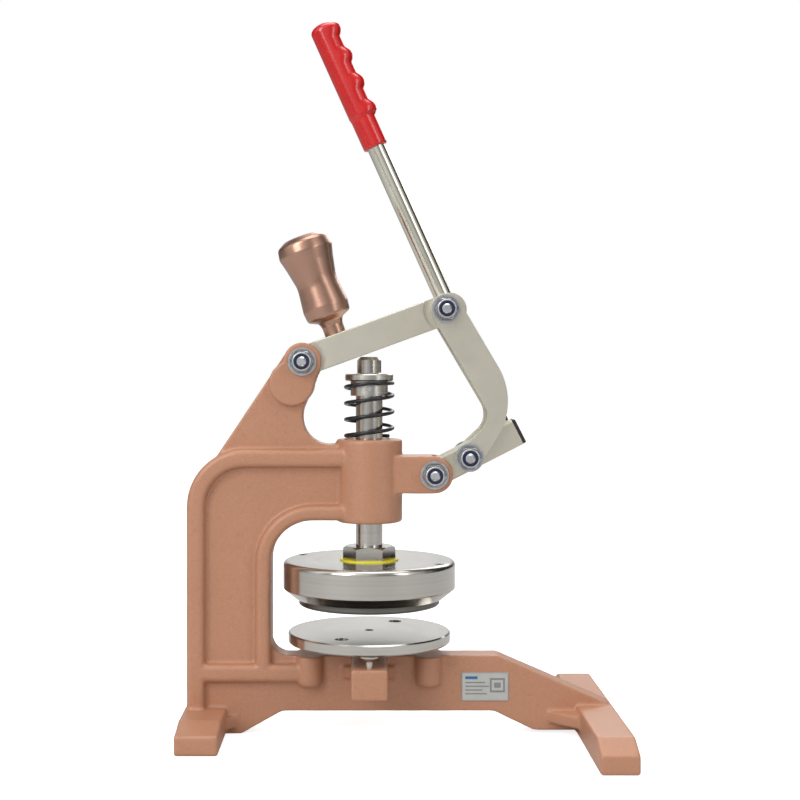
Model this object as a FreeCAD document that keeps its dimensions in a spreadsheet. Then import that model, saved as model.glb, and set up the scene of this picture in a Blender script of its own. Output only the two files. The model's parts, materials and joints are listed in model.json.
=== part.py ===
import FreeCAD, Part

import math
import os
import re

import Sketcher
from FreeCAD import Placement, Rotation, Vector

# Hand-operated cup sealing press. A handle turns a square lever bar on the frame's front
# clevis. Two curved link plates pull the press arm down, and the arm pushes the ram and its
# round die on to the lower plate. A coil spring under the ram's collar lifts the die again.
#
# Millimetres and degrees. The origin is under the middle of the machine on the surface that
# it stands on: +Z is up, +X points to the operator and Y runs across the feet.

# Every size that can be set by itself.
SIZES = {
    # frame: beams and outline
    "foot_reach": 159.0,
    "web_inset": 1.8,
    "beam_thick": 21.0,
    "rib_thick": 35.0,
    "rib_round": 4.0,
    "base_under": 16.8,
    "base_beam": 41.2,
    "throat_height": 100.5,
    "die_clear": 8.65,
    "throat_round": 31.0,
    "throat_heel_round": 13.0,
    "upper_beam": 56.2,
    "shoulder_height": 173.5,
    "shoulder_round": 20.0,
    "outer_rib_width": 13.4,
    "outer_rib_turn": 43.0,
    "outer_rib_drop": 3.3,
    "inner_rib_width": 11.2,
    "low_rib_width": 13.2,
    "low_rib_drop": 5.8,
    "slope_start": 95.5,
    "slope_round": 10.0,
    "nose_height": 22.3,
    "nose_inset": 3.0,
    "nose_lift": 2.4,
    "arch_back": 40.5,
    "arch_step": 30.0,
    "arch_front": 58.5,
    "arch_round": 12.0,
    # frame: feet
    "rear_foot_width": 31.0,
    "rear_foot_half": 73.5,
    "rear_foot_height": 19.0,
    "rear_foot_flat": 47.0,
    "rear_foot_tip": 13.8,
    "front_foot_width": 27.0,
    "front_foot_half": 120.0,
    "front_foot_height": 21.0,
    "front_foot_flat": 100.0,
    "front_foot_tip": 13.0,
    "foot_gusset_long": 30.0,
    "foot_gusset_reach": 38.0,
    "foot_gusset_low": 8.0,
    "foot_gusset_thick": 9.0,
    "gusset_inset": 3.5,
    "gusset_skew": 10.0,
    "casting_edge": 1.5,
    # frame: boss and the cross block under the plate
    "ram_behind": 22.0,
    "boss_diameter": 49.5,
    "boss_under": 2.0,
    "boss_over": 3.7,
    "boss_edge": 1.2,
    "block_width": 26.0,
    "block_half": 64.0,
    "block_depth": 21.7,
    "block_gusset_long": 34.0,
    "block_gusset_reach": 28.5,
    "block_gusset_under": 7.4,
    "block_gusset_thick": 9.0,
    "lug_offset": 44.0,
    "lug_diameter": 19.5,
    "lug_depth": 22.7,
    # pivots
    "arm_pivot_behind": 49.6,
    "arm_pivot_rise": 61.6,
    "lever_pivot_ahead": 48.3,
    "lever_pivot_drop": 22.4,
    "ear_thick": 6.2,
    "slot_gap": 0.3,
    "arm_clevis_round": 14.0,
    "pad_round": 16.6,
    "pad_drop": 16.0,
    "pad_back": 7.9,
    "lever_clevis_round": 13.7,
    "neck_ahead": 0.2,
    "neck_share": 0.59,
    "neck_round_share": 0.325,
    "slot_clear": 2.4,
    # pivot hardware
    "bolt_diameter": 8.0,
    "bolt_clearance": 0.05,
    "bolt_head_flats": 13.0,
    "bolt_head_high": 5.3,
    "nut_flats": 15.2,
    "nut_high": 6.5,
    "nut_crown": 2.2,
    "nut_crown_diameter": 13.9,
    "nut_crown_round": 0.5,
    "nut_corner_drop": 1.6,
    "nut_ring_diameter": 11.7,
    "bolt_proud": 1.6,
    "bolt_end_diameter": 7.2,
    "bolt_end_chamfer": 1.0,
    "washer_diameter": 21.0,
    "washer_thick": 1.6,
    "thread_gap": 0.05,
    # press arm
    "arm_tilt": 20.0,
    "arm_length": 113.3,
    "arm_high": 22.0,
    "arm_shoulder": 4.0,
    "tongue_round": 11.0,
    "arm_scallop": 17.0,
    "tip_slot_long": 7.6,
    "tip_slot_high": 10.4,
    "tip_slot_dip": 33.0,
    "tip_round": 12.8,
    "tip_extend": 2.6,
    "tip_drop": 1.2,
    # knob
    "knob_along": 30.0,
    "knob_stud_diameter": 10.0,
    "knob_stud_deep": 12.0,
    "knob_neck": 8.0,
    "knob_neck_high": 12.0,
    "knob_base": 17.5,
    "knob_waist": 15.2,
    "knob_rim": 20.8,
    "knob_rim_high": 66.0,
    "knob_high": 78.0,
    # lever bar
    "bar_tilt": 27.0,
    "bar_square": 20.0,
    "bar_reach": 69.5,
    "bar_chamfer": 1.6,
    "cap_thick": 2.6,
    "cap_inset": 0.4,
    "link_pivot_along": 28.8,
    # link plates
    "link_thick": 8.0,
    "link_gap": 0.3,
    "link_lean": 30.5,
    "link_width": 23.0,
    "link_knee": 87.5,
    "link_knee_round": 16.0,
    "link_back_round": 50.0,
    "leg_end_round": 9.0,
    "leg_front_angle": 36.0,
    "leg_back_angle": 44.0,
    "sink_diameter": 16.0,
    "sink_deep": 4.4,
    "sink_gap": 0.4,
    # handle
    "rod_along": 62.8,
    "rod_clear": 0.9,
    "rod_lean": 24.2,
    "rod_diameter": 14.0,
    "rod_edge": 1.0,
    "handle_boss_diameter": 19.0,
    "handle_stem_diameter": 12.0,
    "stem_gap": 0.6,
    "handle_boss_proud": 10.0,
    "grip_start": 241.4,
    "grip_long": 103.5,
    "grip_diameter": 20.6,
    "grip_round": 5.0,
    "cuff_diameter": 19.3,
    "cuff_long": 24.0,
    "finger_count": 4,
    "finger_first": 29.7,
    "finger_pitch": 22.0,
    "finger_round": 7.0,
    "finger_offset": 6.75,
    "grip_end_thick": 12.0,
    # ram, collar and spring
    "ram_diameter": 20.0,
    "ram_shoulder": 1.0,
    "ram_over": 12.7,
    "ram_edge": 2.5,
    "running_gap": 0.05,
    "bush_wall": 4.0,
    "collar_diameter": 36.0,
    "collar_thick": 5.3,
    "ring_edge": 0.8,
    "spigot_gap": 2.2,
    "spigot_long": 11.0,
    "collar_pin_diameter": 4.0,
    "spring_diameter": 38.0,
    "spring_wire": 2.8,
    "spring_turns": 3.3,
    "spring_high": 43.4,
    # upper die
    "die_diameter": 128.5,
    "die_under_boss": 28.5,
    "die_thick": 27.7,
    "die_top_round": 3.5,
    "die_chamfer_high": 7.2,
    "die_chamfer_in": 8.9,
    "die_ring_back": 2.85,
    "die_ring_thick": 5.0,
    "die_ring_rim": 6.5,
    "die_ring_lip": 8.0,
    "die_recess_deep": 7.0,
    "die_socket_deep": 14.0,
    "die_screw_diameter": 7.0,
    "die_screw_in": 6.25,
    "die_screw_angle": 152.0,
    "die_screw_deep": 6.0,
    "die_screw_sink": 0.2,
    "lock_nut_flats": 34.0,
    "lock_nut_high": 9.5,
    "shim_diameter": 44.0,
    "shim_thick": 1.0,
    # lower plate
    "plate_diameter": 121.0,
    "plate_thick": 8.0,
    "plate_over": 9.0,
    "plate_edge": 1.0,
    "plate_hole": 6.4,
    "post_diameter": 16.0,
    "support_offset": 57.0,
    "support_stem": 5.0,
    "support_head": 13.5,
    "support_head_high": 4.0,
    "screw_x": 20.0,
    "screw_y": 37.0,
    "screw_diameter": 6.0,
    "screw_sink": 1.2,
    "counterbore": 10.0,
    "counterbore_deep": 2.4,
    # label
    "label_long": 35.1,
    "label_high": 21.3,
    "label_thick": 0.6,
    "label_ahead": 64.0,
    "label_up": 35.0,
    "face_gap": 0.3,
}

# Places and lengths that follow from the sizes above.
PLACES = {
    "web_back": "-foot_reach + web_inset",
    "base_top": "base_under + base_beam",
    "throat_top": "base_top + throat_height",
    "throat_x": "ram_x - die_diameter / 2 - die_clear",
    "neck_top": "throat_top + upper_beam",
    "ram_x": "-ram_behind",
    "boss_low": "throat_top - boss_under",
    "boss_top": "neck_top + boss_over",
    "arm_x": "ram_x - arm_pivot_behind",
    "arm_z": "neck_top + arm_pivot_rise",
    "lever_x": "ram_x + lever_pivot_ahead",
    "lever_z": "neck_top - lever_pivot_drop",
    "tip_x": "arm_x + arm_length * cos(arm_tilt)",
    "tip_z": "arm_z + arm_length * sin(arm_tilt)",
    "link_x": "lever_x + link_pivot_along * cos(bar_tilt)",
    "link_z": "lever_z + link_pivot_along * sin(bar_tilt)",
    "rib_top": "neck_top - outer_rib_drop",
    "slot_width": "bar_square + 2 * slot_gap",
    "slot_round": "bar_square / 2 + slot_clear",
    "clevis_thick": "slot_width + 2 * ear_thick",
    "tongue_thick": "bar_square",
    "arm_thick": "tongue_thick + 2 * arm_shoulder",
    "link_inner": "bar_square / 2 + link_gap",
    "link_outer": "link_inner + link_thick",
    "link_half": "link_width / 2",
    "plate_low": "base_top + plate_over",
    "plate_top": "plate_low + plate_thick",
    "die_top": "boss_low - die_under_boss",
    "die_low": "die_top - die_thick",
    "collar_low": "boss_top + spring_high",
    "ram_top": "collar_low + collar_thick + ram_over",
    "ram_low": "die_top - die_socket_deep + face_gap",
    "lug_half": "lug_diameter / 2",
    "ram_stub_diameter": "ram_diameter - 2 * ram_shoulder",
    "bush_diameter": "ram_diameter + 2 * bush_wall",
    "spigot_diameter": "spring_diameter - 2 * spring_wire - 2 * spigot_gap",
    "die_ring_diameter": "die_diameter - 2 * die_chamfer_in - 2 * die_ring_back",
    "die_ring_recess": "die_ring_diameter - 2 * die_ring_rim",
    "die_screw_circle": "die_diameter - 2 * die_screw_in",
    "rod_offset": "link_outer + rod_clear + rod_diameter / 2",
    "rod_x": "lever_x + rod_along * cos(bar_tilt)",
    "rod_z": "lever_z + rod_along * sin(bar_tilt)",
    "rod_top": "grip_start + grip_long - grip_end_thick",
}

doc = FreeCAD.newDocument("CupSealingPress")
sheet = doc.addObject("Spreadsheet::Sheet", "Sizes")
for row, (word, amount) in enumerate(SIZES.items(), start=1):
    sheet.set(f"A{row}", word)
    sheet.set(f"B{row}", str(amount))
    sheet.setAlias(f"B{row}", word)
doc.recompute()

nodes = []


# ---------------------------------------------------------------- expressions and placement

def sized(text):
    """The text as an expression on the sheet, with every place written out."""
    def spell(match):
        word = match.group(0)
        if word in PLACES:
            return f"({sized(PLACES[word])})"
        return f"Sizes.{word}" if word in SIZES else word
    return re.sub(r"[a-z_]+", spell, str(text))


def number(text):
    """What an expression comes to now."""
    return float(sheet.evalExpression(sized(text)))


def bind(thing, prop, text):
    thing.setExpression(prop, sized(text))


TURNS = {
    "up": Rotation(),
    "back": Rotation(Vector(1, 0, 0), -90),
    "front": Rotation(Vector(1, 0, 0), 90),
    "ahead": Rotation(Vector(0, 1, 0), 90),
}


def place(thing, x="0", y="0", z="0", turn=None, tilt=None):
    """Put a thing at x, y, z. tilt raises its +X end by that angle."""
    if turn:
        thing.Placement = Placement(Vector(), TURNS[turn])
    if tilt is not None:
        thing.Placement = Placement(Vector(), Rotation(Vector(0, 1, 0), -number(tilt)))
        bind(thing, "Placement.Rotation.Angle", f"-({tilt})")
        if thing.Placement.Rotation.Axis.y < 0:
            bind(thing, "Placement.Rotation.Angle", tilt)
    for axis, text in zip("xyz", (x, y, z)):
        bind(thing, f"Placement.Base.{axis}", text)
    return thing


def node(thing, name):
    """Give a finished piece its name."""
    thing.Label = name
    nodes.append(thing)
    return thing


# ---------------------------------------------------------------- shapes

def cylinder(name, diameter, length, x="0", y="0", z="0", turn="up"):
    solid = doc.addObject("Part::Cylinder", name)
    bind(solid, "Radius", f"({diameter}) / 2")
    bind(solid, "Height", length)
    return place(solid, x, y, z, turn)


def across(name, diameter, length, x="0", z="0"):
    """A cylinder along Y, with its middle on the centre plane."""
    return cylinder(name, diameter, length, x, f"-({length}) / 2", z, "back")


def block(name, x_size, y_size, z_size, x="0", y="0", z="0"):
    """A box, with x, y and z as its low corner."""
    solid = doc.addObject("Part::Box", name)
    bind(solid, "Length", x_size)
    bind(solid, "Width", y_size)
    bind(solid, "Height", z_size)
    return place(solid, x, y, z)


def hexagon(name, flats, height, x="0", y="0", z="0", turn="up"):
    solid = doc.addObject("Part::Prism", name)
    solid.Polygon = 6
    bind(solid, "Circumradius", f"({flats}) / sqrt(3)")
    bind(solid, "Height", height)
    return place(solid, x, y, z, turn)


def fuse(name, *parts):
    joined = doc.addObject("Part::MultiFuse", name)
    joined.Shapes = list(parts)
    joined.Refine = True
    return joined


def cut(name, base, *tools):
    tool = tools[0] if len(tools) == 1 else fuse(name + "Tools", *tools)
    cleared = doc.addObject("Part::Cut", name)
    cleared.Base = base
    cleared.Tool = tool
    cleared.Refine = True
    return cleared


def common(name, one, other):
    shared = doc.addObject("Part::Common", name)
    shared.Base = one
    shared.Tool = other
    return shared


def outline(sketch, corners):
    """Draw a closed outline. A corner is (across, up) or (across, up, radius)."""
    texts = [tuple(corner) + ("0",) * (3 - len(corner)) for corner in corners]
    spots = [Vector(number(a), number(b), 0) for a, b, _ in texts]
    radii = [number(r) for _, _, r in texts]
    count = len(spots)
    arrive, leave, centres = [], [], []
    for i, here in enumerate(spots):
        back = (spots[i - 1] - here).normalize()
        on = (spots[(i + 1) % count] - here).normalize()
        half = back.getAngle(on) / 2
        trim = radii[i] / math.tan(half)
        arrive.append(here + back * trim)
        leave.append(here + on * trim)
        middle = (back + on).normalize() if radii[i] else Vector()
        centres.append(here + middle * (radii[i] / math.sin(half)))
    for i in range(count):
        sketch.addGeometry(Part.LineSegment(leave[i], arrive[(i + 1) % count]), False)
    for i, (a, b, r) in enumerate(texts):
        before = (i - 1) % count
        if not radii[i]:
            sketch.addConstraint(Sketcher.Constraint("Coincident", before, 2, i, 1))
            corner, end = i, 1
        else:
            corner, end = rounded(sketch, spots[i], arrive[i], leave[i], centres[i], before, i, r)
        for kind, text, value in (("DistanceX", a, spots[i].x), ("DistanceY", b, spots[i].y)):
            at = sketch.addConstraint(Sketcher.Constraint(kind, -1, 1, corner, end, value))
            bind(sketch, f"Constraints[{at}]", text)
    return sketch


def rounded(sketch, spot, arrive, leave, centre, before, after, radius):
    """Round one corner of an outline with a tangent arc. The corner stays as a point."""
    start = math.atan2(arrive.y - centre.y, arrive.x - centre.x)
    stop = math.atan2(leave.y - centre.y, leave.x - centre.x)
    left = math.sin(stop - start) > 0
    first, last = (start, stop) if left else (stop, start)
    if last < first:
        last += 2 * math.pi
    circle = Part.Circle(centre, Vector(0, 0, 1), arrive.distanceToPoint(centre))
    arc = sketch.addGeometry(Part.ArcOfCircle(circle, first, last), False)
    dot = sketch.addGeometry(Part.Point(spot), True)
    into, out = (1, 2) if left else (2, 1)
    sketch.addConstraint(Sketcher.Constraint("Tangent", before, 2, arc, into))
    sketch.addConstraint(Sketcher.Constraint("Tangent", arc, out, after, 1))
    sketch.addConstraint(Sketcher.Constraint("PointOnObject", dot, 1, before))
    sketch.addConstraint(Sketcher.Constraint("PointOnObject", dot, 1, after))
    size = sketch.addConstraint(Sketcher.Constraint("Radius", arc, circle.Radius))
    bind(sketch, f"Constraints[{size}]", radius)
    return dot, 1


PLANES = {"side": "XZ_Plane", "top": "XY_Plane", "front": "YZ_Plane"}


def slab(name, corners, thickness, plane="side", edge=None, offset=None):
    """A body padded evenly to both sides of a plane, its rims rounded to edge."""
    body = doc.addObject("PartDesign::Body", name)
    sketch = body.newObject("Sketcher::SketchObject", name + "Outline")
    base = next(f for f in body.Origin.OriginFeatures if f.Role == PLANES[plane])
    sketch.AttachmentSupport = [(base, "")]
    sketch.MapMode = "FlatFace"
    if offset:
        bind(sketch, "AttachmentOffset.Base.z", offset)
    outline(sketch, corners)
    pad = body.newObject("PartDesign::Pad", name + "Pad")
    pad.Profile = sketch
    pad.SideType = "Symmetric"
    bind(pad, "Length", thickness)
    if edge:
        doc.recompute()
        normal = {"side": Vector(0, 1, 0), "top": Vector(0, 0, 1), "front": Vector(1, 0, 0)}[plane]
        faces = [f"Face{i}" for i, face in enumerate(pad.Shape.Faces, start=1)
                 if isinstance(face.Surface, Part.Plane)
                 and abs(face.normalAt(0, 0).dot(normal)) > 0.999]
        rim = body.newObject("PartDesign::Fillet", name + "Rims")
        rim.Base = (pad, faces)
        bind(rim, "Radius", edge)
    return body


def turned(name, profile, x="0", y="0", z="0", turn="up", tilt=None):
    """A solid of revolution about its own Z, from an outline of radius and height."""
    sketch = doc.addObject("Sketcher::SketchObject", name + "Profile")
    sketch.Placement = Placement(Vector(), Rotation(Vector(1, 0, 0), 90))
    outline(sketch, profile)
    solid = doc.addObject("Part::Revolution", name)
    solid.Source = sketch
    solid.Axis = Vector(0, 0, 1)
    solid.Base = Vector()
    solid.Angle = 360
    solid.Solid = True
    return place(solid, x, y, z, turn, tilt)


# ---------------------------------------------------------------- frame

def frame_web():
    """The flat web with its throat, its sloping base beam and the arch between the feet."""
    outer = [
        ("web_back", "0"),
        ("web_back", "shoulder_height", "shoulder_round"),
        ("arm_x - arm_clevis_round * 0.835", "arm_z + arm_clevis_round * 0.55"),
        ("arm_x", "arm_z"),
        ("arm_x + arm_clevis_round", "arm_z - arm_clevis_round * 0.36"),
        ("arm_x + neck_ahead", "arm_z - arm_pivot_rise * neck_share", "arm_clevis_round"),
        ("arm_x + neck_ahead", "neck_top", "arm_pivot_rise * neck_round_share"),
        ("ram_x", "neck_top"),
        ("ram_x", "throat_top"),
        ("throat_x", "throat_top", "throat_round"),
        ("throat_x", "base_top", "throat_heel_round"),
        ("ram_x + slope_start", "base_top", "slope_round"),
        ("foot_reach - nose_inset", "nose_height"),
        ("foot_reach - nose_inset", "nose_lift"),
        ("foot_reach - arch_front", "nose_lift", "arch_round"),
        ("foot_reach - arch_front - arch_step", "base_under", "arch_round"),
        ("web_back + arch_back + arch_step", "base_under", "arch_round"),
        ("web_back + arch_back", "0"),
    ]
    return slab("Web", outer, "beam_thick")


def frame_ribs():
    """The raised ribs: round the back and top, round the throat, and along the base."""
    inner = "outer_rib_turn - outer_rib_width"
    back_rib = slab("BackRib", [
        ("web_back", "rear_foot_tip"),
        ("web_back", "rib_top", "outer_rib_turn"),
        ("ram_x", "rib_top"),
        ("ram_x", "rib_top - outer_rib_width"),
        ("web_back + outer_rib_width", "rib_top - outer_rib_width", inner),
        ("web_back + outer_rib_width", "rear_foot_tip"),
    ], "rib_thick", edge="rib_round")
    throat_rib = slab("ThroatRib", [
        ("ram_x", "throat_top"),
        ("ram_x", "throat_top + inner_rib_width"),
        ("throat_x - inner_rib_width", "throat_top + inner_rib_width",
         "throat_round + inner_rib_width"),
        ("throat_x - inner_rib_width", "base_top - low_rib_drop - low_rib_width"),
        ("throat_x", "base_top - low_rib_drop - low_rib_width"),
        ("throat_x", "throat_top", "throat_round"),
    ], "rib_thick", edge="rib_round")
    low_rib = slab("LowRib", [
        ("web_back + outer_rib_width / 2", "base_top - low_rib_drop"),
        ("ram_x - lug_offset", "base_top - low_rib_drop"),
        ("ram_x - lug_offset", "base_top - low_rib_drop - low_rib_width"),
        ("web_back + outer_rib_width / 2", "base_top - low_rib_drop - low_rib_width"),
    ], "rib_thick", edge="rib_round")
    return [back_rib, throat_rib, low_rib]


def crossbar(name, half, flat, high, tip, width, x):
    """One foot across the machine: level in the middle, lower towards both tips."""
    bar = slab(name, [
        (f"-({half})", "0"),
        (f"-({half})", tip, "casting_edge"),
        (f"-({flat})", high),
        (flat, high),
        (half, tip, "casting_edge"),
        (half, "0"),
    ], width, plane="front", edge="boss_edge", offset=x)
    return bar


def gusset(name, x, long, reach, low, thick, tall_x="0"):
    """A level triangle on both sides of the web."""
    return slab(name, [
        (f"{x} - {long}", "0"),
        (f"{x} + ({tall_x})", f"-({reach})"),
        (f"{x} + {long}", "0"),
        (f"{x} + ({tall_x})", reach),
    ], thick, plane="top", edge="casting_edge", offset=f"{low} + {thick} / 2")


def pivot_ears():
    """Raised round pads at both clevises."""
    arm_pad = slab("ArmPad", [
        ("arm_x - arm_clevis_round", "arm_z"),
        ("arm_x + arm_clevis_round", "arm_z"),
        ("arm_x - pad_back + pad_round", "arm_z - pad_drop"),
        ("arm_x - pad_back - pad_round", "arm_z - pad_drop"),
    ], "clevis_thick")
    top = across("ArmEar", "arm_clevis_round * 2", "clevis_thick", "arm_x", "arm_z")
    foot = across("ArmEarFoot", "pad_round * 2", "clevis_thick",
                  "arm_x - pad_back", "arm_z - pad_drop")
    lever_pad = slab("LeverPad", [
        ("ram_x", "lever_z - lever_clevis_round"),
        ("ram_x", "lever_z + lever_clevis_round"),
        ("lever_x", "lever_z + lever_clevis_round"),
        ("lever_x", "lever_z - lever_clevis_round"),
    ], "clevis_thick")
    nose = across("LeverEar", "lever_clevis_round * 2", "clevis_thick", "lever_x", "lever_z")
    return [arm_pad, top, foot, lever_pad, nose]


def frame_boss():
    """The upright guide boss and the half-round lugs under the plate."""
    half = "boss_diameter / 2"
    boss = turned("Boss", [
        ("0", "boss_low"),
        (f"{half} - boss_edge", "boss_low"),
        (half, "boss_low + boss_edge"),
        (half, "boss_top - boss_edge"),
        (f"{half} - boss_edge", "boss_top"),
        ("0", "boss_top"),
    ], "ram_x")
    lugs = []
    for side, y in (("Front", "-beam_thick / 2"), ("Rear", "beam_thick / 2")):
        for end, x in (("A", "ram_x - lug_offset"), ("B", "ram_x + lug_offset")):
            lugs.append(turned(f"Lug{side}{end}", [
                ("0", "base_top - lug_depth"),
                ("lug_half", "base_top - lug_depth", "lug_half * 0.45"),
                ("lug_half", "base_top"),
                ("0", "base_top"),
            ], x, y))
    return [boss] + lugs


def frame_casting():
    rear = crossbar("RearFoot", "rear_foot_half", "rear_foot_flat", "rear_foot_height",
                    "rear_foot_tip", "rear_foot_width", "-foot_reach + rear_foot_width / 2")
    front = crossbar("FrontFoot", "front_foot_half", "front_foot_flat", "front_foot_height",
                     "front_foot_tip", "front_foot_width", "foot_reach - front_foot_width / 2")
    cross = slab("CrossBlock", [
        ("-block_half", "base_top - block_depth"),
        ("-block_half", "base_top"),
        ("block_half", "base_top"),
        ("block_half", "base_top - block_depth"),
    ], "block_width", plane="front", edge="casting_edge", offset="ram_x")
    wings = [
        gusset("FootGusset", "foot_reach - front_foot_width - gusset_inset", "foot_gusset_long",
               "foot_gusset_reach", "foot_gusset_low", "foot_gusset_thick", "gusset_skew"),
        gusset("RearGusset", "-foot_reach + rear_foot_width - gusset_inset",
               "foot_gusset_long * 0.75", "foot_gusset_reach * 0.85", "foot_gusset_low * 0.5",
               "foot_gusset_thick", "-gusset_skew"),
        gusset("BlockGusset", "ram_x", "block_gusset_long", "block_gusset_reach",
               "base_top - block_gusset_under - block_gusset_thick", "block_gusset_thick"),
    ]
    body = fuse("FrameBlank", frame_web(), *frame_ribs(), rear, front, cross, *wings,
                *pivot_ears(), *frame_boss())
    bore = "bolt_diameter + 2 * bolt_clearance"
    tools = [
        cylinder("BushBore", "bush_diameter", "boss_top", "ram_x", "0", "boss_low - 1"),
        across("ArmBore", bore, "clevis_thick + 10", "arm_x", "arm_z"),
        across("LeverBore", bore, "clevis_thick + 10", "lever_x", "lever_z"),
        across("ArmSlotEnd", "slot_round * 2", "slot_width", "arm_x", "arm_z"),
        block("ArmSlot", "slot_round * 4", "slot_width", "slot_round * 3",
              "arm_x", "-slot_width / 2", "arm_z - slot_round"),
        across("LeverSlotEnd", "slot_round * 2", "slot_width", "lever_x", "lever_z"),
        block("LeverSlot", "slot_round * 3", "slot_width", "slot_round * 4",
              "lever_x", "-slot_width / 2", "lever_z - slot_round * 2"),
        block("LeverSlotLow", "slot_round * 2", "slot_width", "slot_round * 2",
              "lever_x - slot_round", "-slot_width / 2", "lever_z - slot_round * 2"),
    ]
    return node(cut("FrameCasting", body, *tools), "frame_casting")


def guide_bush():
    tube = cylinder("BushOuter", "bush_diameter - 2 * thread_gap", "boss_top - boss_low",
                    "ram_x", "0", "boss_low")
    hole = cylinder("BushInner", "ram_diameter + 2 * running_gap", "boss_top",
                    "ram_x", "0", "boss_low - 1")
    return node(cut("GuideBush", tube, hole), "guide_bush")


# ---------------------------------------------------------------- pivot hardware

def lock_nut(name, label, x, z, front):
    """A nut with a domed crown at the front, and the nylon ring in the crown."""
    low, high = "bolt_end_diameter / 2 + thread_gap", "nut_crown_diameter / 2"
    ring = "nut_ring_diameter / 2"
    hexed = hexagon(name + "Hex", "nut_flats", "nut_high", x, front, z, "front")
    crown = turned(name + "Crown", [
        ("0", "nut_high / 2"),
        (high, "nut_high / 2"),
        (high, "nut_high + nut_crown", "nut_crown_round"),
        (ring, "nut_high + nut_crown"),
        (ring, "nut_high"),
        ("0", "nut_high"),
    ], x, front, z, "front")
    rounding = turned(name + "Corners", [
        ("0", "-1"),
        ("nut_flats / sqrt(3)", "-1"),
        ("nut_flats / sqrt(3)", "nut_high - nut_corner_drop"),
        ("nut_flats / 2", "nut_high"),
        ("0", "nut_high"),
    ], x, front, z, "front")
    shaped = common(name + "Shaped", hexed, rounding)
    hole = cylinder(name + "Hole", "bolt_diameter + 2 * thread_gap", "nut_high * 3",
                    x, f"({front}) + nut_high", z, "front")
    node(cut(name, fuse(name + "Solid", shaped, crown), hole), label + "_nut")
    node(turned(name + "Ring", [
        (low, "nut_high + face_gap / 3"),
        (f"{ring} - thread_gap", "nut_high + face_gap / 3"),
        (f"{ring} - thread_gap", "nut_high + nut_crown - face_gap", "nut_crown_round"),
        (low, "nut_high + nut_crown - 2 * face_gap"),
    ], x, front, z, "front"), label + "_nut_ring")


def bolt_end(face):
    """Profile points of a bolt beyond a nut's low face: the shank, then its narrow end."""
    out = f"{face} + nut_high + nut_crown + bolt_proud"
    return [
        ("bolt_diameter / 2", f"{face} + nut_high"),
        ("bolt_end_diameter / 2", f"{face} + nut_high"),
        ("bolt_end_diameter / 2", f"{out} - bolt_end_chamfer"),
        ("bolt_end_diameter / 2 - bolt_end_chamfer", out),
        ("0", out),
    ]


def pivot_set(name, label, x, z, half):
    """A bolt across the machine at x, z with washers on faces half away from the middle."""
    stack = f"{half} + washer_thick"
    front = f"-({stack})"
    shank = turned(name + "Shank", [
        ("0", f"-({stack})"),
        ("bolt_diameter / 2", f"-({stack})"),
        *bolt_end(stack),
    ], x, "0", z, "front")
    head = hexagon(name + "Head", "bolt_head_flats", "bolt_head_high", x, stack, z, "back")
    node(fuse(name, shank, head), label + "_bolt")
    rings = []
    for side, y in (("Front", front), ("Rear", half)):
        disc = cylinder(f"{name}Washer{side}", "washer_diameter", "washer_thick", x, y, z, "back")
        hole = cylinder(f"{name}WasherHole{side}", "bolt_diameter + 2 * thread_gap",
                        "washer_thick * 3", x, f"{y} - washer_thick", z, "back")
        rings.append(cut(f"{name}WasherRing{side}", disc, hole))
    both = doc.addObject("Part::Compound", name + "Washers")
    both.Links = rings
    node(both, label + "_washers")
    lock_nut(name + "Nut", label, x, z, front)


# ---------------------------------------------------------------- press arm and knob

def press_arm():
    """A thick bar with a flat tongue at each end, scalloped to clear the round ears."""
    half = "arm_high / 2"
    bar = slab("ArmBar", [
        ("0", f"-{half}"),
        ("arm_length", f"-{half}"),
        ("arm_length", half),
        ("0", half),
    ], "arm_thick", edge="0.8")
    root = across("ArmRoot", "tongue_round * 2", "tongue_thick")
    tip = across("ArmTip", "tip_round * 2", "tongue_thick", "arm_length + tip_extend", "-tip_drop")
    blank = fuse("ArmBlank", bar, root, tip)
    tools = [across("ArmPivotHole", "bolt_diameter + 2 * bolt_clearance", "arm_thick * 2")]
    for side, y in (("Front", "-tongue_thick / 2 - arm_thick"), ("Rear", "tongue_thick / 2")):
        for end, x in (("Root", "0"), ("Tip", "arm_length")):
            tools.append(cylinder(f"Scallop{side}{end}", "arm_scallop * 2", "arm_thick",
                                  x, y, "0", "back"))
    slot = fuse("TipSlot",
                slab("TipSlotRun", [
                    ("0", "-tip_slot_high / 2"),
                    ("tip_slot_long", "-tip_slot_high / 2"),
                    ("tip_slot_long", "tip_slot_high / 2"),
                    ("0", "tip_slot_high / 2"),
                ], "arm_thick"),
                across("TipSlotStart", "tip_slot_high", "arm_thick"),
                across("TipSlotEnd", "tip_slot_high", "arm_thick", "tip_slot_long"))
    place(slot, "arm_length", tilt="-tip_slot_dip")
    tools.append(slot)
    tools.append(cylinder("KnobHole", "knob_stud_diameter + 2 * thread_gap", "knob_stud_deep + 5",
                          "knob_along", "0", f"{half} - knob_stud_deep"))
    arm = cut("PressArm", blank, *tools)
    return node(place(arm, "arm_x", "0", "arm_z", tilt="arm_tilt"), "press_arm")


def on_arm(thing, along, up):
    """Put a thing at a point of the press arm, standing square to it."""
    x = f"arm_x + ({along}) * cos(arm_tilt) - ({up}) * sin(arm_tilt)"
    z = f"arm_z + ({along}) * sin(arm_tilt) + ({up}) * cos(arm_tilt)"
    return place(thing, x, "0", z, tilt="arm_tilt")


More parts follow.
